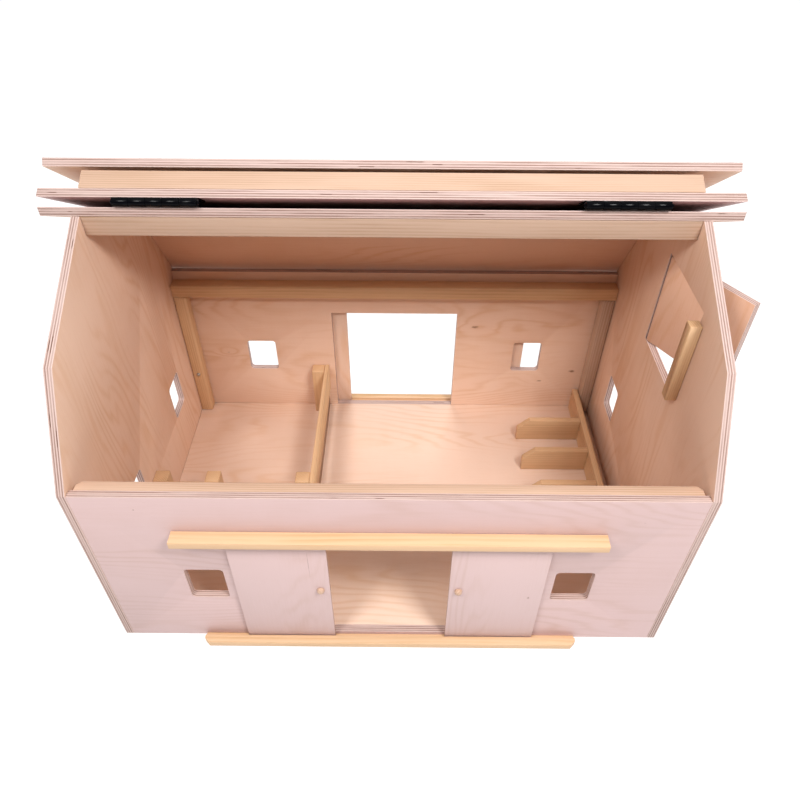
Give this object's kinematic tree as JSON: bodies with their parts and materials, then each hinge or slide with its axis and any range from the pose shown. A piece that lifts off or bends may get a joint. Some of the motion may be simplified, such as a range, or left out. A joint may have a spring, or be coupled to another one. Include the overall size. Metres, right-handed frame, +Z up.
{
  "type": "toy barn",
  "caption": "Birch plywood toy barn or doll-sized stable with a gambrel roof whose front half folds back, sliding doors, a loft door, a fenced stall and a divided rack.",
  "frame": {"origin": "the middle of the floor panel's underside", "axes": "+X along the ridge towards the gable with the loft door, +Y from the front wall to the rear wall, +Z up"},
  "size_m": [0.7494, 0.4611, 0.5015],
  "materials": {
    "birch_plywood": "sanded birch plywood with its layers showing on the edges",
    "solid_birch": "planed solid wood, unvarnished",
    "stained_birch": "brown-stained wood",
    "black_enamel": "gloss black enamel",
    "zinc_steel": "bright zinc plate"
  },
  "bodies": {
    "barn": {"left_gable": "birch_plywood", "right_gable": "birch_plywood", "front_wall": "birch_plywood", "rear_wall": "birch_plywood", "floor_panel": "birch_plywood", "rear_upper_roof": "birch_plywood", "rear_lower_roof": "birch_plywood", "ridge_beam": "solid_birch", "front_top_batten": "solid_birch", "rear_top_batten": "solid_birch", "front_left_corner_post": "solid_birch", "front_right_corner_post": "solid_birch", "rear_left_corner_post": "solid_birch", "rear_right_corner_post": "solid_birch", "front_lower_track": "solid_birch", "front_upper_track": "solid_birch", "rear_lower_track": "solid_birch", "rear_upper_track": "solid_birch", "loft_stop_bar": "solid_birch", "long_fence_front_post": "solid_birch", "long_fence_rear_post": "solid_birch", "long_fence_board": "solid_birch", "gate_wall_post": "solid_birch", "gate_post": "solid_birch", "gate_board": "solid_birch", "rack_back_board": "solid_birch", "rack_divider_1": "solid_birch", "rack_divider_2": "solid_birch", "rack_divider_3": "solid_birch", "rack_divider_4": "solid_birch", "long_fence_kick_rail": "stained_birch", "gate_kick_rail": "stained_birch", "left_ridge_hinge_fixed_leaf": "black_enamel", "left_ridge_hinge_pin": "black_enamel", "right_ridge_hinge_fixed_leaf": "black_enamel", "right_ridge_hinge_pin": "black_enamel", "corner_post_screw": "zinc_steel", "loft_door_lower_pin": "zinc_steel", "loft_door_upper_pin": "zinc_steel"},
    "upper_roof": {"front_upper_roof": "birch_plywood", "ridge_batten": "solid_birch", "left_ridge_hinge_swinging_leaf": "black_enamel", "right_ridge_hinge_swinging_leaf": "black_enamel", "left_knee_hinge_upper_leaf": "black_enamel", "right_knee_hinge_upper_leaf": "black_enamel", "left_knee_hinge_pin": "black_enamel", "right_knee_hinge_pin": "black_enamel"},
    "lower_roof": {"front_lower_roof": "birch_plywood", "left_knee_hinge_lower_leaf": "black_enamel", "right_knee_hinge_lower_leaf": "black_enamel"},
    "loft_door": {"loft_door": "birch_plywood"},
    "front_left_sliding_door": {"front_left_door": "birch_plywood", "front_left_door_knob": "solid_birch"},
    "front_right_sliding_door": {"front_right_door": "birch_plywood", "front_right_door_knob": "solid_birch"},
    "rear_left_sliding_door": {"rear_left_door": "birch_plywood", "rear_left_door_knob": "solid_birch"},
    "rear_right_sliding_door": {"rear_right_door": "birch_plywood", "rear_right_door_knob": "solid_birch"}
  },
  "joints": [
    {"name": "roof_ridge", "type": "hinge", "parent": "barn", "child": "upper_roof", "pos_m": [0, 0, 0.47439], "axis": [1, 0, 0], "range_deg": [0, 241.16]},
    {"name": "roof_knee", "type": "hinge", "parent": "upper_roof", "child": "lower_roof", "pos_m": [0, 0.15719, 0.39822], "axis": [1, 0, 0], "range_deg": [-144.95, 0]},
    {"name": "loft_door_swing", "type": "hinge", "parent": "barn", "child": "loft_door", "pos_m": [0.3255, 0.048, 0.328], "axis": [0, 0, 1], "range_deg": [-32, 68]},
    {"name": "front_left_door_slide", "type": "slide", "parent": "barn", "child": "front_left_sliding_door", "axis": [1, 0, 0], "range_m": [-0.0535, 0.067]},
    {"name": "front_right_door_slide", "type": "slide", "parent": "barn", "child": "front_right_sliding_door", "axis": [1, 0, 0], "range_m": [-0.067, 0.0535]},
    {"name": "rear_left_door_slide", "type": "slide", "parent": "barn", "child": "rear_left_sliding_door", "axis": [1, 0, 0], "range_m": [-0.048, 0.0725]},
    {"name": "rear_right_door_slide", "type": "slide", "parent": "barn", "child": "rear_right_sliding_door", "axis": [1, 0, 0], "range_m": [-0.096, 0.0245]}
  ],
  "couplings": [
    {"joint": "roof_knee", "follows": "roof_ridge", "ratio": -0.60083}
  ]
}
